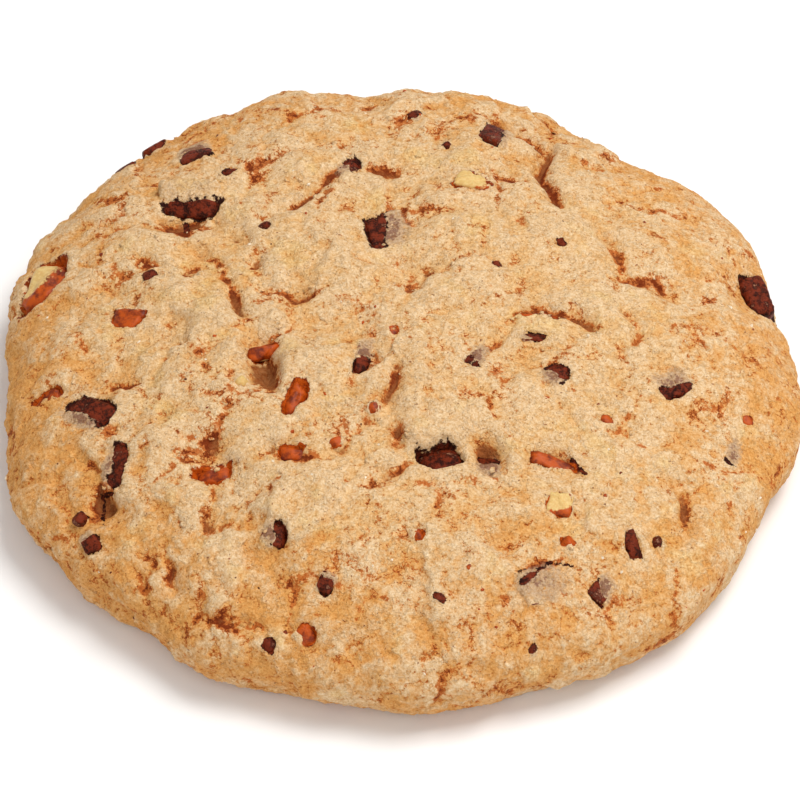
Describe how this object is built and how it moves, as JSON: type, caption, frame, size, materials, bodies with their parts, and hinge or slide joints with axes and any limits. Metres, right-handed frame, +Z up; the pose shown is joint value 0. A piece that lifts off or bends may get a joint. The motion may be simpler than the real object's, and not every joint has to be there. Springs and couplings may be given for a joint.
{
  "type": "chocolate pecan cookie",
  "caption": "Round crumbly baked cookie with a domed cracked top, a flat underside and broken pieces of chocolate and pecan set in it.",
  "frame": {"origin": "middle of the flat underside, on the surface that the cookie rests on", "axes": "+Z up out of the domed top, +X to the right and +Y to the back as pictured"},
  "size_m": [0.0711, 0.0704, 0.0142],
  "materials": {
    "dough": "matt pale golden baked dough, crumbly, lighter on the hills and orange-brown in the cracks",
    "chocolate": "dark chocolate, satin, in places under a greyish film of dough",
    "pecan": "orange-brown nut skin with a slight gloss, and pale yellow nut flesh"
  },
  "bodies": {
    "root": {"chocolate_arch": "chocolate", "chocolate_back_left": "chocolate", "chocolate_back_mid": "chocolate", "chocolate_back_right": "chocolate", "chocolate_far_right": "chocolate", "chocolate_front": "chocolate", "chocolate_front_left": "chocolate", "chocolate_front_mid": "chocolate", "chocolate_front_right": "chocolate", "chocolate_hole": "chocolate", "chocolate_hollow": "chocolate", "chocolate_left": "chocolate", "chocolate_left_back": "chocolate", "chocolate_left_front": "chocolate", "chocolate_left_low": "chocolate", "chocolate_mid": "chocolate", "chocolate_mid_right": "chocolate", "chocolate_right": "chocolate", "chocolate_right_front": "chocolate", "chocolate_right_mid": "chocolate", "chocolate_rim_lower": "chocolate", "chocolate_rim_right": "chocolate", "chocolate_rim_upper": "chocolate", "chocolate_round": "chocolate", "dough": "dough", "pecan_arch": "pecan", "pecan_back": "pecan", "pecan_cluster": "pecan", "pecan_curved": "pecan", "pecan_far_left": "pecan", "pecan_front": "pecan", "pecan_front_right": "pecan", "pecan_left": "pecan", "pecan_pebbly": "pecan", "pecan_rim_left": "pecan", "pecan_slit": "pecan", "pecan_upper_mid": "pecan"}
  },
  "joints": []
}
